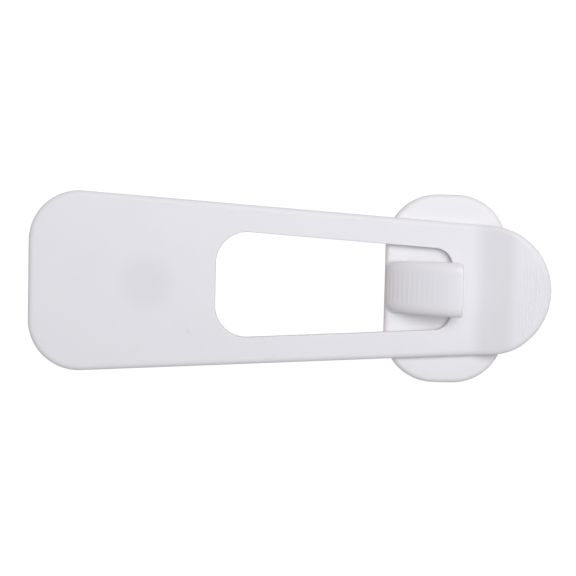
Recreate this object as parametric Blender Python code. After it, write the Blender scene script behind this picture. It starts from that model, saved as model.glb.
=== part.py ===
# Appliance safety lock: a slotted plastic strap that slips over the hook of a stick-on catch.
# Metres, +Z up. +X runs along the strap from its anchored end to its finger tab.
# The origin is under the middle of the strap, on the surface that both foam pads stick to.

import math

import bmesh
import bpy
from mathutils import Vector

MM = 0.001

# Fits and rounding shared by all pieces
SEAT_GAP = 0.3 * MM            # between two faces that lie on each other
PLAN_STEP = math.radians(9.0)  # turn between two points of a round corner
EDGE_STEPS = 2                 # facets across a rounded edge
SAME_PLACE = 0.001 * MM        # points nearer than this are one point
SMOOTH_ANGLE = math.radians(40.0)

# Strap, seen from above
STRAP_LENGTH = 150.0 * MM
STRAP_END_WIDTH = 53.9 * MM    # across the square end, before its corners are rounded
STRAP_TAPER = math.radians(3.57)
STRAP_CORNER = 14.6 * MM
STRAP_THICKNESS = 2.4 * MM
STRAP_EDGE = 0.9 * MM
ANCHOR_LENGTH = 54.0 * MM      # square end of the strap to the slot
SLOT_LENGTH = 68.2 * MM
RAIL_WIDTH = 7.8 * MM
SLOT_ANCHOR_CORNER = 9.1 * MM
SLOT_LOOP_CORNER = 5.2 * MM
FLEX_REACH = 34.2 * MM         # line where the rails bend, measured back from the crossbar

# Finger tab: the far end of the strap steps up and carries grip ribs
TAB_RISE = 4.8 * MM
CROSSBAR_FLAT = 5.1 * MM       # level stretch between the slot and the first bend
FIRST_BEND = 4.4 * MM
RAMP = 5.7 * MM
SECOND_BEND = 4.0 * MM
BEND_STEPS = 5
RIB_COUNT = 9
RIB_PITCH = 0.9 * MM
RIB_WIDTH = 0.6 * MM
RIB_HEIGHT = 0.2 * MM
RIB_SETBACK = 1.6 * MM         # last rib to the end of the tab

# Catch
BASE_LENGTH = 35.1 * MM        # along the strap
BASE_WIDTH = 54.7 * MM         # across the strap
BASE_CORNER = 14.9 * MM
BASE_THICKNESS = 2.2 * MM
BASE_EDGE = 0.9 * MM
HOOK_LENGTH = 21.3 * MM
HOOK_WIDTH = 15.5 * MM
HOOK_HEIGHT = 11.0 * MM
HOOK_BOW = 4 / 3               # power of the arch: 1 gives a quarter ellipse, more a straighter ramp
HOOK_POST = 4.4 * MM           # wall at the hook's root
HOOK_TONGUE = 2.8 * MM         # wall at the hook's tip
HOOK_OVERLAP = 2.5 * MM        # tip over crossbar
HOOK_SETBACK = 0.3 * MM        # root from the edge of the base
HOOK_EDGE = 1.2 * MM
HOOK_TIP_ROUND = 0.6 * MM
HOOK_STEPS = 14

# Foam pads and the moulded seat under the anchored end
PAD_THICKNESS = 1.1 * MM
PAD_INSET = 0.6 * MM           # pad edge from the edge of the face it sticks to
SEAT_BORDER = 4.5 * MM         # seat edge from the edge of the strap
SEAT_BITE = 0.8 * MM           # seat runs this far up into the strap
SEAT_CORNER = 9.0 * MM

# Colours are linear values
PLASTIC_COLOUR = (0.78, 0.77, 0.81)
PLASTIC_ROUGHNESS = 0.42
FOAM_COLOUR = (0.72, 0.72, 0.70)
FOAM_ROUGHNESS = 0.9

# Heights of the stacked faces
base_bottom = PAD_THICKNESS + SEAT_GAP
base_top = base_bottom + BASE_THICKNESS
strap_bottom = base_top + SEAT_GAP
strap_top = strap_bottom + STRAP_THICKNESS
hook_bottom = base_top + SEAT_GAP

# Places along the strap, from its square end
slot_start = ANCHOR_LENGTH
slot_end = ANCHOR_LENGTH + SLOT_LENGTH
flex_line = slot_end - FLEX_REACH
bend_start = slot_end + CROSSBAR_FLAT
last_rib = STRAP_LENGTH - RIB_SETBACK
hook_tip = slot_end + HOOK_OVERLAP
hook_root = hook_tip - HOOK_LENGTH
base_start = hook_root - HOOK_SETBACK
base_end = base_start + BASE_LENGTH
middle = STRAP_LENGTH / 2

# Where each finished object has its origin, by name
ORIGINS = {}


def outer_half(x):
    """Half width of the strap at x, to its tapered side."""
    return STRAP_END_WIDTH / 2 - x * math.tan(STRAP_TAPER)


def slot_half(x):
    """Half width of the slot at x: the side moved in by the width of a rail."""
    return outer_half(x) - RAIL_WIDTH / math.cos(STRAP_TAPER)


def tab_radius():
    """Radius of the round end that is tangent to both tapered sides."""
    return outer_half(STRAP_LENGTH) * math.cos(STRAP_TAPER) / (1 - math.sin(STRAP_TAPER))


def tab_rise(x):
    """Height of the strap above its level part: a ramp between two bends."""
    slope = TAB_RISE / (FIRST_BEND / 2 + RAMP + SECOND_BEND / 2)
    run = x - bend_start
    first = min(max(run, 0.0), FIRST_BEND)
    ramp = min(max(run - FIRST_BEND, 0.0), RAMP)
    second = min(max(run - FIRST_BEND - RAMP, 0.0), SECOND_BEND)
    rounded_in = first ** 2 / (2 * FIRST_BEND)
    rounded_out = second - second ** 2 / (2 * SECOND_BEND)
    return slope * (rounded_in + ramp + rounded_out)


def rib_rise(x):
    """Height of the grip ribs above the tab: one ridge with a sharp crest at every pitch."""
    steps = min(max(round((last_rib - x) / RIB_PITCH), 0), RIB_COUNT - 1)
    from_crest = abs(x - (last_rib - steps * RIB_PITCH))
    return RIB_HEIGHT * max(0.0, 1 - from_crest / (RIB_WIDTH / 2))


def rounded(corners):
    """Closed outline through (x, y, radius) corners, each rounded as far as its sides allow."""
    points = []
    count = len(corners)
    for i, (x, y, radius) in enumerate(corners):
        here = Vector((x, y))
        back = Vector(corners[i - 1][:2]) - here
        ahead = Vector(corners[(i + 1) % count][:2]) - here
        if radius == 0:
            points.append(here)
            continue
        half_angle = back.angle(ahead) / 2
        longest = 0.5 * min(back.length, ahead.length)
        reach = min(radius / math.tan(half_angle), longest)
        fitted = reach * math.tan(half_angle)
        bisector = (back.normalized() + ahead.normalized()).normalized()
        centre = here + bisector * (fitted / math.sin(half_angle))
        first = here + back.normalized() * reach - centre
        turn = first.angle_signed(here + ahead.normalized() * reach - centre)
        steps = max(2, round(abs(turn) / PLAN_STEP))
        for step in range(steps + 1):
            angle = -turn * step / steps
            swung = Vector((first.x * math.cos(angle) - first.y * math.sin(angle),
                            first.x * math.sin(angle) + first.y * math.cos(angle)))
            points.append(centre + swung)
    return [p for i, p in enumerate(points) if (p - points[i - 1]).length > SAME_PLACE]


def inset(points, distance, kept):
    """Outline moved in by distance. An edge for which kept is true stays on its line."""
    moved = []
    count = len(points)
    for i, here in enumerate(points):
        pulls = []
        for start, end in ((points[i - 1], here), (here, points[(i + 1) % count])):
            along = (end - start).normalized()
            pulls.append((Vector((-along.y, along.x)), 0.0 if kept(start, end) else distance))
        (first, first_pull), (second, second_pull) = pulls
        spread = first.x * second.y - first.y * second.x
        if abs(spread) < 1e-6:
            moved.append(here + first * (first_pull + second_pull) / 2)
            continue
        shift = Vector(((first_pull * second.y - second_pull * first.y) / spread,
                        (second_pull * first.x - first_pull * second.x) / spread))
        moved.append(here + shift)
    return moved


def nothing_kept(start, end):
    """For outlines whose every edge is rounded."""
    return False


def plate(outline, low, high, edge, kept=nothing_kept, upright=False):
    """Closed plate between two levels with rounded rims, as a bmesh.

    The outline runs anticlockwise. An upright plate has its outline in X and Z, and its levels in Y.
    """
    if edge > 0:
        turns = [math.radians(90.0) * step / EDGE_STEPS for step in range(EDGE_STEPS + 1)]
        rim = [(edge * (1 - math.sin(t)), edge * (1 - math.cos(t))) for t in turns]
        levels = [(shift, low + climb) for shift, climb in rim]
        levels += [(shift, high - climb) for shift, climb in reversed(rim)]
    else:
        levels = [(0.0, low), (0.0, high)]
    mesh = bmesh.new()
    rings = []
    for shift, level in levels:
        flat = inset(outline, shift, kept)
        places = [(p.x, level, p.y) if upright else (p.x, p.y, level) for p in flat]
        rings.append([mesh.verts.new(place) for place in places])
    count = len(outline)
    for lower, upper in zip(rings, rings[1:]):
        for i in range(count):
            after = (i + 1) % count
            mesh.faces.new((lower[i], lower[after], upper[after], upper[i]))
    mesh.faces.new(list(reversed(rings[0])))
    mesh.faces.new(rings[-1])
    bmesh.ops.recalc_face_normals(mesh, faces=mesh.faces[:])
    return mesh


def finish(name, mesh, colour, roughness, origin, parent=None):
    """Turn a bmesh into a named object with its own material and its origin at the given point."""
    bmesh.ops.translate(mesh, verts=mesh.verts[:], vec=-origin)
    bmesh.ops.triangulate(mesh, faces=mesh.faces[:])
    data = bpy.data.meshes.new(name)
    mesh.to_mesh(data)
    mesh.free()
    data.shade_smooth()
    data.set_sharp_from_angle(angle=SMOOTH_ANGLE)
    material = bpy.data.materials.new(name + "_finish")
    material.use_nodes = True
    shader = material.node_tree.nodes["Principled BSDF"]
    shader.inputs["Base Color"].default_value = (*colour, 1.0)
    shader.inputs["Roughness"].default_value = roughness
    shader.inputs["Metallic"].default_value = 0.0
    data.materials.append(material)
    made = bpy.data.objects.new(name, data)
    bpy.context.scene.collection.objects.link(made)
    made.parent = parent
    parent_origin = ORIGINS[parent.name] if parent else Vector((middle, 0, 0))
    made.location = origin - parent_origin
    ORIGINS[name] = origin
    return made


def strap_anchor():
    """Wide end of the strap, the near half of both rails, and the seat for the foam pad."""
    cut = flex_line - SEAT_GAP / 2
    outline = rounded([
        (cut, -outer_half(cut), 0),
        (cut, -slot_half(cut), 0),
        (slot_start, -slot_half(slot_start), SLOT_ANCHOR_CORNER),
        (slot_start, slot_half(slot_start), SLOT_ANCHOR_CORNER),
        (cut, slot_half(cut), 0),
        (cut, outer_half(cut), 0),
        (0.0, outer_half(0.0), STRAP_CORNER),
        (0.0, -outer_half(0.0), STRAP_CORNER),
    ])

    def on_cut(start, end):
        return start.x == cut and end.x == cut

    origin = Vector((0, 0, strap_bottom))
    mesh = plate(outline, strap_bottom, strap_top, STRAP_EDGE, on_cut)
    made = finish("strap_anchor", mesh, PLASTIC_COLOUR, PLASTIC_ROUGHNESS, origin)

    seat_mesh = plate(seat_outline(0.0), base_bottom, strap_bottom + SEAT_BITE, 0.0)
    seat = finish("pad_seat", seat_mesh, PLASTIC_COLOUR, PLASTIC_ROUGHNESS, origin)
    seat.hide_render = True
    seat.display_type = "WIRE"
    union = made.modifiers.new("pad_seat", "BOOLEAN")
    union.operation = "UNION"
    union.solver = "EXACT"
    union.object = seat
    return made


def seat_outline(shrink):
    """Outline of the raised seat under the wide end, drawn in by shrink for the pad on it."""
    near = SEAT_BORDER + shrink
    far = slot_start - SEAT_BORDER - shrink
    return rounded([
        (far, -outer_half(far) + near, SEAT_CORNER),
        (far, outer_half(far) - near, SEAT_CORNER),
        (near, outer_half(near) - near, SEAT_CORNER),
        (near, -outer_half(near) + near, SEAT_CORNER),
    ])


def strap_loop(anchor):
    """Far half of both rails, the crossbar and the raised, ribbed finger tab."""
    cut = flex_line + SEAT_GAP / 2
    outline = rounded([
        (cut, outer_half(cut), 0),
        (cut, slot_half(cut), 0),
        (slot_end, slot_half(slot_end), SLOT_LOOP_CORNER),
        (slot_end, -slot_half(slot_end), SLOT_LOOP_CORNER),
        (cut, -slot_half(cut), 0),
        (cut, -outer_half(cut), 0),
        (STRAP_LENGTH, -outer_half(STRAP_LENGTH), tab_radius()),
        (STRAP_LENGTH, outer_half(STRAP_LENGTH), tab_radius()),
    ])

    def on_cut(start, end):
        return start.x == cut and end.x == cut

    mesh = plate(outline, strap_bottom, strap_top, STRAP_EDGE, on_cut)

    first_end = bend_start + FIRST_BEND
    second_start = first_end + RAMP
    cuts = [bend_start + FIRST_BEND * step / BEND_STEPS for step in range(BEND_STEPS + 1)]
    cuts += [second_start + SECOND_BEND * step / BEND_STEPS for step in range(BEND_STEPS + 1)]
    for rib in range(RIB_COUNT):
        crest = last_rib - rib * RIB_PITCH
        cuts += [crest - RIB_WIDTH / 2, crest, crest + RIB_WIDTH / 2]
    for place in sorted(cuts):
        everything = mesh.verts[:] + mesh.edges[:] + mesh.faces[:]
        bmesh.ops.bisect_plane(mesh, geom=everything, dist=SAME_PLACE,
                               plane_co=(place, 0, 0), plane_no=(1, 0, 0))
    bmesh.ops.triangulate(mesh, faces=mesh.faces[:])
    for vert in mesh.verts:
        ribs = rib_rise(vert.co.x) if vert.co.z > strap_top - SAME_PLACE else 0.0
        vert.co.z += tab_rise(vert.co.x) + ribs

    origin = Vector((flex_line, 0, strap_top))
    return finish("strap_loop", mesh, PLASTIC_COLOUR, PLASTIC_ROUGHNESS, origin, anchor)


def base_outline(shrink):
    """Rounded plan of the catch, drawn in by shrink."""
    near, far = base_start + shrink, base_end - shrink
    half = BASE_WIDTH / 2 - shrink
    radius = BASE_CORNER - shrink
    return rounded([(far, -half, radius), (far, half, radius), (near, half, radius), (near, -half, radius)])


def catch_base():
    """Flat plate that sticks to the door and carries the hook."""
    mesh = plate(base_outline(0.0), base_bottom, base_top, BASE_EDGE)
    origin = Vector((base_start + BASE_LENGTH / 2, 0, base_bottom))
    return finish("catch_base", mesh, PLASTIC_COLOUR, PLASTIC_ROUGHNESS, origin)


def catch_hook(base):
    """Arched hook: the wall between two straightened quarter ellipses that share a centre under the tip."""
    def arc(reach, height, step):
        angle = math.radians(90.0) * step / HOOK_STEPS
        return (hook_tip - reach * math.cos(angle) ** HOOK_BOW,
                hook_bottom + height * math.sin(angle) ** HOOK_BOW)

    throat_reach = HOOK_LENGTH - HOOK_POST
    throat_height = HOOK_HEIGHT - HOOK_TONGUE
    inner = [arc(throat_reach, throat_height, step) for step in range(HOOK_STEPS)]
    outer = [arc(HOOK_LENGTH, HOOK_HEIGHT, step) for step in range(HOOK_STEPS - 1, -1, -1)]
    tip = [(hook_tip, hook_bottom + throat_height, HOOK_TIP_ROUND),
           (hook_tip, hook_bottom + HOOK_HEIGHT, HOOK_TIP_ROUND)]
    outline = rounded([(x, z, 0) for x, z in inner] + tip + [(x, z, 0) for x, z in outer])

    def on_base(start, end):
        return max(start.y, end.y) - hook_bottom < SAME_PLACE

    mesh = plate(outline, -HOOK_WIDTH / 2, HOOK_WIDTH / 2, HOOK_EDGE, on_base, upright=True)
    origin = Vector((hook_root, 0, hook_bottom))
    return finish("catch_hook", mesh, PLASTIC_COLOUR, PLASTIC_ROUGHNESS, origin, base)


def foam_pad(name, outline, carrier):
    """Double-sided foam tape, from the mounting surface up to the face that it sticks to."""
    mesh = plate(outline, 0.0, PAD_THICKNESS, 0.0)
    return finish(name, mesh, FOAM_COLOUR, FOAM_ROUGHNESS, ORIGINS[carrier.name], carrier)


def main():
    for old in list(bpy.data.objects):
        bpy.data.objects.remove(old, do_unlink=True)
    anchor = strap_anchor()
    strap_loop(anchor)
    foam_pad("anchor_foam_pad", seat_outline(PAD_INSET), anchor)
    base = catch_base()
    catch_hook(base)
    foam_pad("catch_foam_pad", base_outline(BASE_EDGE + PAD_INSET), base)


main()
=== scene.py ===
import math

import bpy
import numpy as np
from mathutils import Matrix, Vector


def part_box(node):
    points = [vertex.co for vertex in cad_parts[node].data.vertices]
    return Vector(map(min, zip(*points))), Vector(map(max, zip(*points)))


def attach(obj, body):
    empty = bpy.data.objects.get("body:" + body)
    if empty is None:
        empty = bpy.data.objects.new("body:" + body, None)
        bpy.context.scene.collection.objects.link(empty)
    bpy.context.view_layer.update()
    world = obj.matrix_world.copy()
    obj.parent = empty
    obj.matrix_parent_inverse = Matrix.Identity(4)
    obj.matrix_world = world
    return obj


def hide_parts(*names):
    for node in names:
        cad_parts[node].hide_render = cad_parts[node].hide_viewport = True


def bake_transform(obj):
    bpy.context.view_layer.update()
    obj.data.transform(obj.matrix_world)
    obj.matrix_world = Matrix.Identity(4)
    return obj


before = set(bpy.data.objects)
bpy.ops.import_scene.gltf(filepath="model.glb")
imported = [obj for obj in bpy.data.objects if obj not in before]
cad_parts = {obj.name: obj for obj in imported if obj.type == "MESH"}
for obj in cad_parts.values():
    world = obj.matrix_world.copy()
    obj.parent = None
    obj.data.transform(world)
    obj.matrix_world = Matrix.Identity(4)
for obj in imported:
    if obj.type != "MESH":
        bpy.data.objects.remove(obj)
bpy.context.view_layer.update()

mm = 0.001

# faces that the pieces are set to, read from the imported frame
anchorLow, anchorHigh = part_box("strap_anchor")
loopLow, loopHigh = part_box("strap_loop")
baseLow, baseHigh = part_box("catch_base")
hookLow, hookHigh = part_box("catch_hook")
anchorPadLow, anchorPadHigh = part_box("anchor_foam_pad")
catchPadLow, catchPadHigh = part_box("catch_foam_pad")
print("frame loaded:", ", ".join(sorted(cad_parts)))


# grid helpers

# a grid of rows by columns of points; columns always close on themselves, rows close too if wrapRows,
# and otherwise each end row is closed by a fan to its mean point
def gridPiece(name, points, material, wrapRows=False):
    rows, columns = points.shape[:2]
    index = np.arange(rows * columns).reshape(rows, columns)
    lower = index if wrapRows else index[:-1]
    upper = np.roll(index, -1, 0) if wrapRows else index[1:]
    quads = np.stack([lower, np.roll(lower, -1, 1), np.roll(upper, -1, 1), upper], -1).reshape(-1, 4)
    places = points.reshape(-1, 3)
    fans = np.empty((0, 3), int)
    if not wrapRows:
        first, last = rows * columns, rows * columns + 1
        places = np.vstack([places, points[0].mean(0), points[-1].mean(0)])
        after = np.roll(index, -1, 1)
        startFan = np.stack([after[0], index[0], np.full(columns, first)], -1)
        endFan = np.stack([index[-1], after[-1], np.full(columns, last)], -1)
        fans = np.vstack([startFan, endFan])
    triangles = np.vstack([quads[:, [0, 1, 2]], quads[:, [0, 2, 3]], fans])
    corners = places[triangles]
    volume = np.einsum("ij,ij->i", corners[:, 0], np.cross(corners[:, 1], corners[:, 2])).sum()
    if volume < 0:  # faces point outwards
        quads, fans = quads[:, ::-1], fans[:, ::-1]
    mesh = bpy.data.meshes.new(name)
    mesh.from_pydata(places.tolist(), [], quads.tolist() + fans.tolist())
    mesh.shade_smooth()
    mesh.materials.append(material)
    piece = bpy.data.objects.new(name, mesh)
    bpy.context.scene.collection.objects.link(piece)
    return piece


# count points at even spacing along a line of points, with the same mix of their normals
def evenSpread(points, normals, count):
    step = np.linalg.norm(np.diff(points, axis=0), axis=1)
    travel = np.concatenate([[0], np.cumsum(step)])
    want = np.linspace(0, travel[-1], count)
    place = np.stack([np.interp(want, travel, points[:, k]) for k in (0, 1)], -1)
    facing = np.stack([np.interp(want, travel, normals[:, k]) for k in (0, 1)], -1)
    return place, facing / np.linalg.norm(facing, axis=1, keepdims=True)


# closed outline, mirrored about y = 0: a straight near edge, a near corner arc, a side that leans in by
# the taper angle, a far corner arc and a straight far edge; gives points and outward normals
def taperedOutline(nearX, farX, halfAt, lean, nearRadius, farRadius, counts):
    nearCount, sideCount, farCount = counts
    arcCount = 240  # points on a corner arc before they are spread evenly
    tiny = 0.0001 * mm  # a far edge shorter than this is left out
    sideAngle = math.pi / 2 - lean

    def cornerArc(x, radius, fromAngle, toAngle):
        angle = np.linspace(fromAngle, toAngle, arcCount)
        normal = np.stack([np.cos(angle), np.sin(angle)], -1)
        return np.array([x, halfAt(x) - radius / math.cos(lean)]) + radius * normal, normal

    nearArc, nearNormal = cornerArc(nearX + nearRadius, nearRadius, math.pi, sideAngle)
    farArc, farNormal = cornerArc(farX - farRadius, farRadius, sideAngle, 0)
    nearEnd = np.vstack([[[nearX, 0]], nearArc])
    sideEnds = np.vstack([nearArc[-1:], farArc[:1]])
    farEnd = np.vstack([farArc, [[farX, 0]]]) if farArc[-1, 1] > tiny else farArc
    farNormals = np.vstack([farNormal, farNormal[-1:]])[:len(farEnd)]
    nearPlan, nearFacing = evenSpread(nearEnd, np.vstack([nearNormal[:1], nearNormal]), nearCount)
    sidePlan, sideFacing = evenSpread(sideEnds, np.vstack([nearNormal[-1:], farNormal[:1]]), sideCount)
    farPlan, farFacing = evenSpread(farEnd, farNormals, farCount)
    half = np.vstack([nearPlan, sidePlan[1:-1], farPlan])
    facing = np.vstack([nearFacing, sideFacing[1:-1], farFacing])
    mirror = np.array([1, -1])
    return np.vstack([half, half[-2:0:-1] * mirror]), np.vstack([facing, facing[-2:0:-1] * mirror])


# quarter ellipse of a rounded rim: shift in from the edge and drop from the face, from the face to the edge
def rimTurn(rim, count):
    reach, drop = rim
    turn = np.linspace(0, math.pi / 2, count)
    return reach * (1 - np.sin(turn)), drop * (1 - np.cos(turn))


# finishes

# sRGB hex value to linear colour, by the curve of the sRGB standard
def hexColour(code):
    value = np.array([int(code[i:i + 2], 16) for i in (1, 3, 5)]) / 255
    linear = np.where(value <= 0.04045, value / 12.92, ((value + 0.055) / 1.055) ** 2.4)
    return (*linear.tolist(), 1.0)


# adds a node with its settings; an input is a socket to link or a value to set
def addNode(tree, kind, inputs=(), **settings):
    node = tree.nodes.new(kind)
    for name, value in settings.items():
        setattr(node, name, value)
    for socket, value in dict(inputs).items():
        if isinstance(value, bpy.types.NodeSocket):
            tree.links.new(value, node.inputs[socket])
        else:
            node.inputs[socket].default_value = value
    return node


# a material with its node tree and its shader
def newMaterial(name):
    material = bpy.data.materials.new(name)
    material.use_nodes = True
    tree = material.node_tree
    return material, tree, tree.nodes["Principled BSDF"]


# pattern scale for features of that size, because a noise at scale 1 has features about 1 m apart
def perMetre(sizeMm):
    return 1 / (sizeMm * mm)


noiseDetail = {"cloud": 3.0, "grain": 2.0}  # octaves of finer noise in each pattern


# injection moulded plastic: an even, slightly cloudy white, a satin sheen and the fine grain of an eroded
# tool, which is drawn coarser than its real tenth of a millimetre so that it shows; a look may add a soft
# round painted shade over a sink mark and faint long marks from handling
def mouldedPlastic(name, look):
    material, tree, shader = newMaterial(name)
    place = addNode(tree, "ShaderNodeTexCoord").outputs["Object"]
    cloud = addNode(tree, "ShaderNodeTexNoise", {
        "Vector": place, "Scale": perMetre(look["cloudMm"]), "Detail": noiseDetail["cloud"]})
    tint = addNode(tree, "ShaderNodeMix", {
        "Factor": cloud.outputs["Fac"], "A": hexColour(look["deepHex"]), "B": hexColour(look["clearHex"])},
        data_type="RGBA")
    colour = tint.outputs["Result"]
    if "paintedShadeHex" in look:  # painted shade: a soft round darker patch over the sink mark where the thick seat below sank as it cooled
        centre = addNode(tree, "ShaderNodeVectorMath", {0: place, 1: look["paintedShadePlace"]},
                         operation="DISTANCE")
        fade = addNode(tree, "ShaderNodeMapRange", {
            "Value": centre.outputs["Value"], "From Min": look["paintedShadeInner"], "From Max": look["paintedShadeOuter"],
            "To Min": look["paintedShadeDepth"], "To Max": 0.0}, interpolation_type="SMOOTHERSTEP")
        shade = addNode(tree, "ShaderNodeMix", {
            "Factor": fade.outputs["Result"], "A": colour, "B": hexColour(look["paintedShadeHex"])},
            data_type="RGBA")
        colour = shade.outputs["Result"]
    for markX, markY, length, angle, strength in look.get("scuffs", ()):  # each fades out over its length
        local = addNode(tree, "ShaderNodeMapping", {
            "Vector": place, "Location": (markX, markY, look["scuffTop"]),
            "Rotation": (0, 0, math.radians(angle)),
            "Scale": (length / 2, look["scuffWidth"] / 2, look["scuffWidth"])}, vector_type="TEXTURE")
        away = addNode(tree, "ShaderNodeVectorMath", {0: local.outputs["Vector"]}, operation="LENGTH")
        wear = addNode(tree, "ShaderNodeMapRange", {
            "Value": away.outputs["Value"], "To Min": strength, "To Max": 0.0},
            interpolation_type="SMOOTHSTEP")
        mark = addNode(tree, "ShaderNodeMix", {
            "Factor": wear.outputs["Result"], "A": colour, "B": hexColour(look["scuffHex"])},
            data_type="RGBA")
        colour = mark.outputs["Result"]
    grain = addNode(tree, "ShaderNodeTexNoise", {
        "Vector": place, "Scale": perMetre(look["grainMm"]), "Detail": noiseDetail["grain"]})
    gloss = addNode(tree, "ShaderNodeMapRange", {
        "Value": cloud.outputs["Fac"], "To Min": look["roughLow"], "To Max": look["roughHigh"]})
    bump = addNode(tree, "ShaderNodeBump", {
        "Height": grain.outputs["Fac"], "Strength": look["grainStrength"],
        "Distance": look["grainDepthMm"] * mm})
    tree.links.new(colour, shader.inputs["Base Color"])
    tree.links.new(gloss.outputs["Result"], shader.inputs["Roughness"])
    tree.links.new(bump.outputs["Normal"], shader.inputs["Normal"])
    shader.inputs["IOR"].default_value = look["ior"]
    return material


# closed-cell polyethylene foam tape: matt, faintly warm white, with burst cells on its cut edges
def foamTape(name, look):
    material, tree, shader = newMaterial(name)
    place = addNode(tree, "ShaderNodeTexCoord").outputs["Object"]
    cells = addNode(tree, "ShaderNodeTexVoronoi", {"Vector": place, "Scale": perMetre(look["cellMm"])})
    tint = addNode(tree, "ShaderNodeMix", {
        "Factor": cells.outputs["Distance"], "A": hexColour(look["wallHex"]),
        "B": hexColour(look["cellHex"])}, data_type="RGBA")
    bump = addNode(tree, "ShaderNodeBump", {
        "Height": cells.outputs["Distance"], "Strength": look["cellStrength"],
        "Distance": look["cellDepthMm"] * mm})
    tree.links.new(tint.outputs["Result"], shader.inputs["Base Color"])
    tree.links.new(bump.outputs["Normal"], shader.inputs["Normal"])
    shader.inputs["Roughness"].default_value = look["rough"]
    shader.inputs["IOR"].default_value = look["ior"]
    return material


# strap

strap = {
    "endWidth": 53.9 * mm, "taper": math.radians(3.57), "cornerRadius": 14.6 * mm,
    "slotStart": 54.0 * mm, "slotEnd": 122.2 * mm, "railWidth": 7.8 * mm,
    "slotNearRadius": 9.1 * mm, "slotFarRadius": 5.2 * mm,
    "outerTopRim": (1.6 * mm, 1.3 * mm), "outerUnderRim": (0.6 * mm, 0.6 * mm),  # reach and drop
    "slotTopRim": (0.25 * mm, 0.25 * mm), "slotUnderRim": (0.15 * mm, 0.15 * mm),
    "bendStart": 127.3 * mm, "firstBend": 4.4 * mm, "ramp": 5.7 * mm, "secondBend": 4.0 * mm,
    "rise": 4.8 * mm,  # of the tab over the level part
    "sinkPlace": 34.1 * mm, "sinkRadius": 8.0 * mm, "sinkDepth": 0.12 * mm,
    "flexBefore": 8 * mm, "flexAfter": 26 * mm,  # the rails bend from before the joint's line to past it
    "outlineCounts": (56, 130, 72), "faceCount": 46, "rimCount": 8,
}
strapPlastic = mouldedPlastic("mouldedWhitePolypropylene", {
    "deepHex": "#f4f3f3", "clearHex": "#f8f7f7", "cloudMm": 9, "grainMm": 0.35, "grainDepthMm": 0.012,
    "grainStrength": 0.35, "roughLow": 0.5, "roughHigh": 0.6, "ior": 1.49,
    # painted shade over the sink mark: a soft round darker patch
    "paintedShadeHex": "#e7e5e7", "paintedShadePlace": (anchorLow.x + strap["sinkPlace"], 0, anchorHigh.z),
    "paintedShadeInner": 3.2 * mm, "paintedShadeOuter": 11.6 * mm, "paintedShadeDepth": 0.33,
    "scuffHex": "#bab7ba", "scuffWidth": 0.9 * mm, "scuffTop": anchorHigh.z,
    "scuffs": (  # place, length, angle and strength
        (-28.4 * mm, -13.8 * mm, 3.8 * mm, -55, 0.17),
        (-37.9 * mm, 1.2 * mm, 3.8 * mm, 32, 0.08),
        (-61.7 * mm, 0.5 * mm, 1.6 * mm, 10, 0.1),
    ),
})


# height of the strap over its level part, at x from its square end: a ramp that starts and ends in
# a parabola
def tabRise(x):
    slope = strap["rise"] / (strap["firstBend"] / 2 + strap["ramp"] + strap["secondBend"] / 2)
    first = np.clip(x - strap["bendStart"], 0, strap["firstBend"])
    ramp = np.clip(x - strap["bendStart"] - strap["firstBend"], 0, strap["ramp"])
    second = np.clip(x - strap["bendStart"] - strap["firstBend"] - strap["ramp"], 0, strap["secondBend"])
    easeIn = first ** 2 / (2 * strap["firstBend"])
    easeOut = second - second ** 2 / (2 * strap["secondBend"])
    return slope * (easeIn + ramp + easeOut)


# half of the strap's width, which shrinks with x by the tangent of the taper
def strapHalf(x):
    return strap["endWidth"] / 2 - x * math.tan(strap["taper"])


# half of the slot's width: the strap's, less a rail that is measured square to its edge
def slotHalf(x):
    return strapHalf(x) - strap["railWidth"] / math.cos(strap["taper"])


# radius of the far end that is round and tangent to both tapered sides
def tabRadius(length):
    return strapHalf(length) * math.cos(strap["taper"]) / (1 - math.sin(strap["taper"]))


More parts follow.
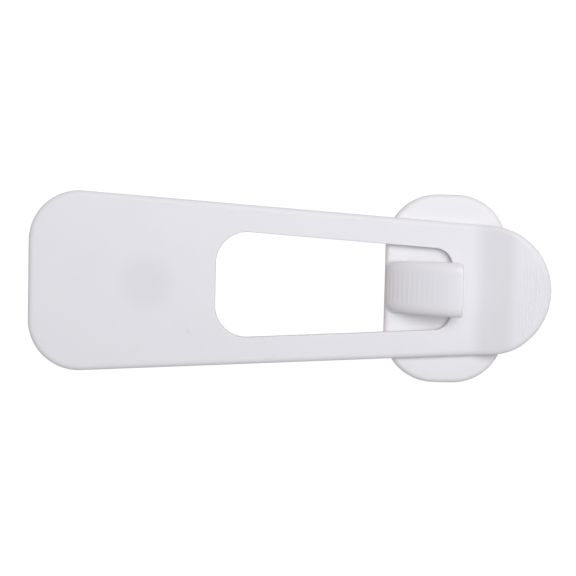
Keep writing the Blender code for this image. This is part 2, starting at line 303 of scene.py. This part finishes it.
# the strap is a ring: one closed section goes once round the slot. The section runs from the slot's edge
# over the top to the outer edge and back below, and each of its points is a mix of a point on the slot's
# outline and a point on the outer outline, both moved in by the rim's rounding. The sink mark is a bell
# curve that lowers the top
def strapRing():
    length = loopHigh.x - anchorLow.x
    top, under = anchorHigh.z, loopLow.z
    outer, outerFacing = taperedOutline(
        0, length, strapHalf, strap["taper"],
        strap["cornerRadius"], tabRadius(length), strap["outlineCounts"])
    inner, innerFacing = taperedOutline(
        strap["slotStart"], strap["slotEnd"], slotHalf, strap["taper"],
        strap["slotNearRadius"], strap["slotFarRadius"], strap["outlineCounts"])
    even = np.linspace(0, 1, strap["faceCount"])
    across = 0.5 * even + 0.25 * (1 - np.cos(math.pi * even))  # half even, half cosine: closer at the rims
    flat, count = np.ones_like(across), strap["rimCount"]
    outerTop, outerUnder = rimTurn(strap["outerTopRim"], count), rimTurn(strap["outerUnderRim"], count)
    innerTop, innerUnder = rimTurn(strap["slotTopRim"], count), rimTurn(strap["slotUnderRim"], count)
    zero, one = np.zeros(count - 1), np.ones(count - 1)

    # in turn: top face, outer rims, under face, slot rims
    mix = np.concatenate([across, one, one, across[::-1], zero, zero])
    slotShift = np.concatenate([flat * innerTop[0][0], zero, zero, flat * innerUnder[0][0],
                                innerUnder[0][1:], innerTop[0][::-1][:-1]])
    edgeShift = np.concatenate([flat * outerTop[0][0], outerTop[0][1:], outerUnder[0][::-1][:-1],
                                flat * outerUnder[0][0], zero, zero])
    height = np.concatenate([flat * top, top - outerTop[1][1:], under + outerUnder[1][::-1][:-1],
                             flat * under, under + innerUnder[1][1:], top - innerTop[1][::-1][:-1]])
    nearSlot = inner[:, None] + innerFacing[:, None] * slotShift[None, :, None]
    nearEdge = outer[:, None] - outerFacing[:, None] * edgeShift[None, :, None]
    plan = nearSlot + (nearEdge - nearSlot) * mix[None, :, None]
    rise = height + tabRise(plan[..., 0])
    fromSink = np.hypot(plan[..., 0] - strap["sinkPlace"], plan[..., 1]) / strap["sinkRadius"]
    rise -= np.where(height == top, strap["sinkDepth"] * np.exp(-fromSink ** 2), 0)
    return np.concatenate([plan + np.array([anchorLow.x, 0]), rise[..., None]], -1)


strapPiece = gridPiece("strapMoulding", strapRing(), strapPlastic, wrapRows=True)
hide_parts("strap_anchor", "strap_loop")
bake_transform(strapPiece)
print("strap made:", len(strapPiece.data.polygons), "faces")


# grip ribs on the tab

tabRibs = {
    "count": 9, "pitch": 0.9 * mm, "width": 0.62 * mm,
    "height": 0.012 * mm,  # very shallow, as the faint lines show
    "lastSetback": 1.6 * mm, "endSetback": 2.2 * mm,
    "endShare": 0.497,  # of a half turn, so that the end rows stop just short of a point
    "stations": 48, "around": 12,
}


# every rib is a long lens half sunk in the tab: an ellipse carried across the strap, whose size falls to
# nothing at both ends as the square root of one minus the fourth power of its place
def ribLens(index):
    length = loopHigh.x - anchorLow.x
    centre = length - tabRadius(length)
    x = length - tabRibs["lastSetback"] - index * tabRibs["pitch"]
    chord = math.sqrt(tabRadius(length) ** 2 - (x - centre) ** 2) - tabRibs["endSetback"]
    along = np.sin(np.linspace(-tabRibs["endShare"], tabRibs["endShare"], tabRibs["stations"]) * math.pi)
    swell = np.sqrt(1 - along ** 4)
    turn = np.linspace(0, 2 * math.pi, tabRibs["around"], endpoint=False)
    acrossX = anchorLow.x + x + np.outer(swell, np.cos(turn)) * tabRibs["width"] / 2
    upZ = anchorHigh.z + tabRise(x) + np.outer(swell, np.sin(turn)) * tabRibs["height"]
    alongY = np.repeat((along * chord)[:, None], tabRibs["around"], 1)
    return np.stack([acrossX, alongY, upZ], -1)


for rib in range(tabRibs["count"]):
    ribPiece = gridPiece(f"tabRib{rib + 1}", ribLens(rib), strapPlastic)
    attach(ribPiece, "loop")
print("grip ribs made:", tabRibs["count"])


# plates: the seat, the catch base and the foam pads

# closed plate: an outline carried from the middle of the underside, round the rim and back to the middle of
# the top; the rings inside the rim are the outline drawn towards its middle, and a waist draws the edge in
# by a parabola over its height
def plateRings(outline, facing, low, high, underRim, topRim, rimCount=8, waist=0.0):
    middle = outline.mean(0)
    drawn = np.array([0.12, 0.45, 0.8, 0.96])  # sizes of the rings inside the rim
    flat = np.ones_like(drawn)
    underShift, underLift = rimTurn(underRim, rimCount)
    topShift, topDrop = rimTurn(topRim, rimCount)
    shift = np.concatenate([flat * underShift[0], underShift, topShift[::-1], flat * topShift[0]])
    height = np.concatenate([flat * low, low + underLift, high - topDrop[::-1], flat * high])
    keep = np.concatenate([drawn, np.ones(2 * rimCount), drawn[::-1]])
    share = (height - low) / (high - low)
    parabola = 4 * share * (1 - share)  # 1 at half height
    shift = shift + waist * parabola * (keep == 1)
    plan = outline[None] - facing[None] * shift[:, None, None]
    plan = middle + (plan - middle) * keep[:, None, None]
    return np.concatenate([plan, np.repeat(height[:, None, None], len(outline), 1)], -1)


# rounded rectangle over the box, with its middle on y = 0
def roundedBox(low, high, radius, counts=(40, 24, 40)):
    half = (high.y - low.y) / 2
    return taperedOutline(low.x, high.x, lambda x: half, 0.0, radius, radius, counts)


# outline under the strap's wide end, drawn in by inset from its sides, its square end and the slot
def wideEndOutline(inset, radius, counts=(40, 30, 40)):
    plan, facing = taperedOutline(inset, strap["slotStart"] - inset, lambda x: strapHalf(x) - inset,
                                  strap["taper"], radius, radius, counts)
    return plan + np.array([anchorLow.x, 0]), facing


seat = {"border": 4.5 * mm, "corner": 9.0 * mm, "bite": 0.5 * mm, "rim": (0.5 * mm, 0.5 * mm)}
seatPlan, seatFacing = wideEndOutline(seat["border"], seat["corner"])
seatTop = loopLow.z + seat["bite"]  # it runs a little way into the strap
seatPoints = plateRings(seatPlan, seatFacing, anchorLow.z, seatTop, seat["rim"], seat["rim"])
seatPiece = gridPiece("padSeat", seatPoints, strapPlastic)
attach(seatPiece, "anchor")

catchBase = {"corner": 14.9 * mm, "topRim": (1.4 * mm, 1.4 * mm), "underRim": (0.5 * mm, 0.5 * mm)}
catchLook = {
    "deepHex": "#f5f4f3", "clearHex": "#f9f8f7", "cloudMm": 8, "grainMm": 0.3, "grainDepthMm": 0.01,
    "grainStrength": 0.3, "roughLow": 0.45, "roughHigh": 0.55, "ior": 1.54,
}
catchPlastic = mouldedPlastic("mouldedWhiteAbs", catchLook)
basePlan, baseFacing = roundedBox(baseLow, baseHigh, catchBase["corner"])
basePoints = plateRings(basePlan, baseFacing, baseLow.z, baseHigh.z,
                        catchBase["underRim"], catchBase["topRim"])
basePiece = gridPiece("catchBaseMoulding", basePoints, catchPlastic)
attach(basePiece, "catch")
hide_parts("catch_base")
print("seat and catch base made")


# hook

hook = {
    "post": 4.4 * mm, "tongue": 2.8 * mm,  # wall at the root and at the tip
    "bow": 4 / 3,  # power of the arch: 1 gives a quarter ellipse, more a straighter ramp
    "rootWidth": 14.3 * mm, "tipRound": 0.25 * mm, "tipCorner": 1.2 * mm,
    "tipLean": 0.5 * mm, "leanPower": 6,  # the back leans towards the root, mostly at the tip
    "rootDrift": 0.48 * mm, "tipDrift": 0.08 * mm, "driftPower": 3,  # a little off the middle of the base
    "shoulderRoot": (2.6 * mm, 2.4 * mm), "shoulderTip": (2.7 * mm, 1.7 * mm),  # reach and drop
    "throatRound": 0.7 * mm,
    "shoulderShare": 0.65, "throatShare": 0.3,  # most that either takes of the wall
    "footDepth": 1.3 * mm, "fillet": 0.9 * mm,
    "bendHeight": 3.0 * mm,  # it flexes over this height above the base
    "ribPitch": 1.55 * mm, "ribShift": 0.4 * mm, "ribDepth": 0.07 * mm, "ribMargin": 1.2 * mm,
    "ribStart": 0.04, "ribFadeIn": 0.08, "ribEnd": 0.8, "ribFadeOut": 0.5,  # shares of the way to the tip
    "rows": 230, "footRows": 12, "tipRows": 7, "cornerCount": 9, "faceCount": 16,
}


# the hook is a rounded rectangle carried along an arch from the base to the tip. The wall lies between an
# outer and an inner arch with one centre, each a quarter ellipse whose sine and cosine are raised to a
# power, and the outer one leans back by a higher power of the sine. Below them the section runs straight
# down into the base with a fillet, and at the tip it draws in over a quarter round and round corners. The
# corners of the section are quarter ellipses on the back and quarter circles in the throat. The thumb ribs
# are a cosine wave along the back, and the whole section drifts sideways by a power of the way to the tip
def hookRows():
    centreX, floorZ = hookHigh.x - hook["tipRound"], hookLow.z
    reach, height = centreX - hookLow.x, hookHigh.z - hookLow.z
    turn = np.linspace(0, math.pi / 2, hook["rows"])
    back = np.clip(np.cos(turn), 0, 1) ** hook["bow"]
    lift = np.sin(turn) ** hook["bow"]
    innerReach, innerHeight = reach - hook["post"], height - hook["tongue"]
    outer = np.stack([centreX - reach * back, floorZ + height * lift], -1)
    inner = np.stack([centreX - innerReach * back, floorZ + innerHeight * lift], -1)
    outer[:, 0] -= hook["tipLean"] * np.sin(turn) ** hook["leanPower"]
    footSteps = np.linspace(hook["footDepth"], 0, hook["footRows"], endpoint=False)
    down = footSteps[:, None] * np.array([[0, -1]])
    endTurn = np.linspace(0, math.pi / 2, hook["tipRows"])[1:]
    ahead = (hook["tipRound"] * np.sin(endTurn))[:, None] * np.array([[1, 0]])
    outer = np.vstack([outer[0] + down, outer, outer[-1] + ahead])
    inner = np.vstack([inner[0] + down, inner, inner[-1] + ahead])
    footZeros, endOnes = np.zeros(hook["footRows"]), np.ones(len(endTurn))
    progress = np.concatenate([footZeros, turn / turn[-1], endOnes])  # 0 at the root, 1 at the tip
    endDraw = hook["tipRound"] * (1 - np.cos(endTurn))
    drawIn = np.concatenate([np.zeros(hook["footRows"] + hook["rows"]), endDraw])

    # widths and wall, row by row; only the root half flares into a fillet
    tipWidth = hookHigh.y - hookLow.y
    aboveBase = np.clip((outer[:, 1] - baseHigh.z) / hook["fillet"], 0, 1)
    flare = np.where(progress < 0.5, hook["fillet"] * (1 - np.sqrt(1 - (1 - aboveBase) ** 2)), 0)
    width = hook["rootWidth"] + (tipWidth - hook["rootWidth"]) * np.sin(progress * math.pi / 2)
    fromEnd = np.clip(1 - (hookHigh.x - inner[:, 0]) / hook["tipCorner"], 0, 1)
    halfWidth = width / 2 + flare - hook["tipCorner"] * (1 - np.sqrt(1 - fromEnd ** 2))
    wall = np.linalg.norm(outer - inner, axis=1)
    innerEdge, outerEdge = drawIn - flare, wall - drawIn
    shoulder = np.outer(1 - progress, hook["shoulderRoot"]) + np.outer(progress, hook["shoulderTip"])
    shoulderDrop = np.minimum(shoulder[:, 1], (outerEdge - innerEdge) * hook["shoulderShare"])
    throatRound = np.minimum(hook["throatRound"], (outerEdge - innerEdge) * hook["throatShare"])

    # round the section: back, two corners, throat, two corners
    corner = np.linspace(0, math.pi / 2, hook["cornerCount"])
    face = np.linspace(-1, 1, hook["faceCount"])[1:-1]
    edge = np.ones(len(corner))
    side = np.concatenate([face, edge, edge, -face, -edge, -edge])
    angle = np.concatenate([0 * face, corner, corner + math.pi / 2, 0 * face + math.pi, corner + math.pi,
                            corner + 1.5 * math.pi])
    onBack = np.zeros(len(side), bool)
    onBack[:len(face) + len(corner)] = True
    onBack[-len(corner):] = True
    reachY = np.where(onBack[None], shoulder[:, :1], throatRound[:, None])
    reachDepth = np.where(onBack[None], shoulderDrop[:, None], throatRound[:, None])
    middle = np.where(onBack[None], (outerEdge - shoulderDrop)[:, None], (innerEdge + throatRound)[:, None])
    depth = middle + reachDepth * np.cos(angle)[None]
    acrossY = side[None] * (halfWidth[:, None] - reachY) + reachY * np.sin(angle)[None]

    # thumb ribs on the flat of the back
    along = np.concatenate([[0], np.cumsum(np.linalg.norm(np.diff(outer, axis=0), axis=1))])
    wave = 0.5 - 0.5 * np.cos(2 * math.pi * (along - hook["ribShift"]) / hook["ribPitch"])
    fromShoulder = halfWidth[:, None] - shoulder[:, :1] - np.abs(acrossY)
    inField = np.clip(fromShoulder / hook["ribMargin"], 0, 1) * (angle == 0)
    fadeIn = np.clip((progress - hook["ribStart"]) / hook["ribFadeIn"], 0, 1)
    fadeOut = np.clip((hook["ribEnd"] - progress) / hook["ribFadeOut"], 0, 1)
    depth = depth - hook["ribDepth"] * (wave * fadeIn * fadeOut)[:, None] * inField

    direction = (outer - inner) / wall[:, None]
    xz = inner[:, None] + direction[:, None] * depth[..., None]
    leftToTip = 1 - progress ** hook["driftPower"]
    drift = hook["tipDrift"] + (hook["rootDrift"] - hook["tipDrift"]) * leftToTip
    return np.stack([xz[..., 0], acrossY + drift[:, None], xz[..., 1]], -1)


# the same plastic as the base, polished smoother in the tool; its colour is a touch darker than the
# base's: painted shade that darkens the hook's back
hookLook = catchLook | {"deepHex": "#f4f3f3", "clearHex": "#f8f7f7", "roughLow": 0.3, "roughHigh": 0.4}
hookPlastic = mouldedPlastic("mouldedWhiteAbsHook", hookLook)
hookPiece = gridPiece("catchHookMoulding", hookRows(), hookPlastic)
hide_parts("catch_hook")
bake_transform(hookPiece)
print("hook made:", len(hookPiece.data.polygons), "faces")


# foam pads

pad = {
    "rim": (0.15 * mm, 0.15 * mm), "rimCount": 4, "waist": 0.12 * mm,
    "anchorCorner": 8.4 * mm, "catchCorner": 13.4 * mm,
}
foam = foamTape("closedCellFoamTape", {
    "cellMm": 0.45, "cellDepthMm": 0.15, "cellStrength": 0.6, "wallHex": "#e9e8e4", "cellHex": "#d9d8d2",
    "rough": 0.85, "ior": 1.5,
})
anchorPlan, anchorFacing = wideEndOutline(anchorPadLow.x - anchorLow.x, pad["anchorCorner"])
catchPlan, catchFacing = roundedBox(catchPadLow, catchPadHigh, pad["catchCorner"])
padSpecs = (
    ("anchorFoamPad", "anchor_foam_pad", "anchor", anchorPlan, anchorFacing, anchorPadHigh.z),
    ("catchFoamPad", "catch_foam_pad", "catch", catchPlan, catchFacing, catchPadHigh.z),
)
for name, node, body, plan, facing, top in padSpecs:
    padPoints = plateRings(plan, facing, 0.0, top, pad["rim"], pad["rim"], pad["rimCount"], pad["waist"])
    padPiece = gridPiece(name, padPoints, foam)
    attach(padPiece, body)
    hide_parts(node)
print("foam pads made")


# stage: a white floor with a wall round it, a soft box from the upper right, one overhead and an even sky

stage = {
    "sheetSize": 9.0, "sheetRough": 0.9, "wallHeight": 4.5,
    "floorHeight": -0.05 * mm, "floorHex": "#6c6c6c", "floorGlowHex": "#ffffff", "floorGlow": 0.95,
    "bounceHeight": -0.5 * mm, "bounceHex": "#000000", "bounceGlowHex": "#ffe8ea", "bounceGlow": 0.53,
    "skyHex": "#f9f9ff", "skyStrength": 0.335,  # the soft boxes have the sky's colour
    "keyPlace": (0.16, 0.245, 0.60), "keyAim": (-0.02, 0.405, 0.225), "keySize": 0.45, "keyWatts": 3.15,
    "topPlace": (0.0, 0.0, 1.2), "topAim": (0.0, 0.0, 0.0), "topSize": 1.0, "topWatts": 1.0,
}


# square sheet that glows, with a wall all round it if it has a wall height
def floorSheet(name, height, wallHeight, colourHex, glowHex, glow):
    corners = np.array([[-1, -1, 0], [1, -1, 0], [1, 1, 0], [-1, 1, 0]]) * stage["sheetSize"] / 2
    places, faces = corners.tolist(), [(0, 1, 2, 3)]
    if wallHeight:  # so that a low view shows no sky
        places += (corners + np.array([0, 0, wallHeight])).tolist()
        faces += [(0, 4, 5, 1), (1, 5, 6, 2), (2, 6, 7, 3), (3, 7, 4, 0)]
    mesh = bpy.data.meshes.new(name)
    mesh.from_pydata(places, [], faces)
    material, tree, shader = newMaterial(name + "Paint")
    shader.inputs["Base Color"].default_value = hexColour(colourHex)
    shader.inputs["Roughness"].default_value = stage["sheetRough"]
    shader.inputs["Emission Color"].default_value = hexColour(glowHex)
    shader.inputs["Emission Strength"].default_value = glow
    mesh.materials.append(material)
    sheet = bpy.data.objects.new(name, mesh)
    sheet.location.z = height
    bpy.context.scene.collection.objects.link(sheet)
    return sheet


# the floor that is seen is burnt out to white; the light that it would throw up comes from a dimmer sheet
# below it
floor = floorSheet("paleFloor", stage["floorHeight"], stage["wallHeight"], stage["floorHex"],
                   stage["floorGlowHex"], stage["floorGlow"])
floor.visible_diffuse = floor.visible_glossy = floor.visible_shadow = False
floor.data.materials[0].cycles.emission_sampling = "NONE"  # it lights nothing
bounce = floorSheet("floorBounce", stage["bounceHeight"], 0.0, stage["bounceHex"],
                    stage["bounceGlowHex"], stage["bounceGlow"])
bounce.visible_camera = False

world = bpy.data.worlds.new("studioSky")
world.use_nodes = True
sky = world.node_tree.nodes["Background"]
sky.inputs["Color"].default_value = hexColour(stage["skyHex"])
sky.inputs["Strength"].default_value = stage["skyStrength"]
bpy.context.scene.world = world


# square area light at a place, turned to its aim
def softBox(name, place, aim, size, watts):
    light = bpy.data.lights.new(name, "AREA")
    light.shape, light.size, light.energy = "SQUARE", size, watts
    light.color = hexColour(stage["skyHex"])[:3]
    lamp = bpy.data.objects.new(name, light)
    lamp.location = place
    lamp.rotation_euler = (Vector(aim) - Vector(place)).to_track_quat("-Z", "Y").to_euler()
    bpy.context.scene.collection.objects.link(lamp)


softBox("keySoftBox", stage["keyPlace"], stage["keyAim"], stage["keySize"], stage["keyWatts"])
softBox("topSoftBox", stage["topPlace"], stage["topAim"], stage["topSize"], stage["topWatts"])
bpy.context.scene.view_settings.view_transform = "Standard"
print("stage made")


# camera: nearly straight down from about 345 mm, standing about 3 degrees towards +Y, and rolled so that
# the strap lies turned a little clockwise

view = {
    "pixels": 576, "mmPerPixel": 0.28773, "lens": 75.0, "sensorWidth": 36.0,
    "roll": math.radians(1.365), "tilt": math.radians(3.21), "aim": (0.0 * mm, -0.64 * mm),
}
cameraData = bpy.data.cameras.new("camera")
cameraData.lens = view["lens"]
cameraData.sensor_width = view["sensorWidth"]
camera = bpy.data.objects.new("camera", cameraData)
frameWidth = view["pixels"] * view["mmPerPixel"] * mm
distance = frameWidth * view["lens"] / view["sensorWidth"]
roll, tilt = Matrix.Rotation(view["roll"], 4, "Z"), Matrix.Rotation(-view["tilt"], 4, "X")
aim, away = Matrix.Translation((*view["aim"], anchorHigh.z)), Matrix.Translation((0, 0, distance))
camera.matrix_world = aim @ roll @ tilt @ away
bpy.context.scene.collection.objects.link(camera)
bpy.context.scene.camera = camera
print("camera made")
